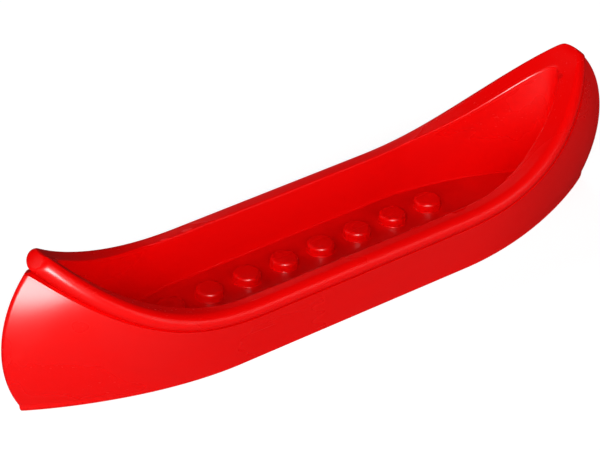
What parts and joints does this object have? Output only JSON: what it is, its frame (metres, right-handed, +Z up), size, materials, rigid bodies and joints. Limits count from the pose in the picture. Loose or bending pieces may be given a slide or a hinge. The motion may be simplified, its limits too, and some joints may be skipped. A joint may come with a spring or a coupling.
{
  "type": "toy canoe",
  "caption": "Toy canoe with upswept pointed ends, flared sides, a rounded gunwale bead and rows of round studs along its flat floor.",
  "frame": {"origin": "middle of the flat bottom, on the surface that the canoe rests on", "axes": "+X along the length (both ends are alike), +Y across to the port side, +Z up"},
  "size_m": [0.1288, 0.0278, 0.0289],
  "materials": {
    "hull_plastic": "glossy moulded red",
    "rim_plastic": "glossy moulded red",
    "floor_plastic": "glossy moulded red",
    "stud_plastic": "glossy moulded red"
  },
  "bodies": {
    "root": {"hull_shell": "hull_plastic", "floor_plate": "floor_plastic", "gunwale_rim": "rim_plastic", "stud_port_1": "stud_plastic", "stud_port_2": "stud_plastic", "stud_port_3": "stud_plastic", "stud_port_4": "stud_plastic", "stud_port_5": "stud_plastic", "stud_port_6": "stud_plastic", "stud_port_7": "stud_plastic", "stud_port_8": "stud_plastic", "stud_starboard_1": "stud_plastic", "stud_starboard_2": "stud_plastic", "stud_starboard_3": "stud_plastic", "stud_starboard_4": "stud_plastic", "stud_starboard_5": "stud_plastic", "stud_starboard_6": "stud_plastic", "stud_starboard_7": "stud_plastic", "stud_starboard_8": "stud_plastic"}
  },
  "joints": []
}
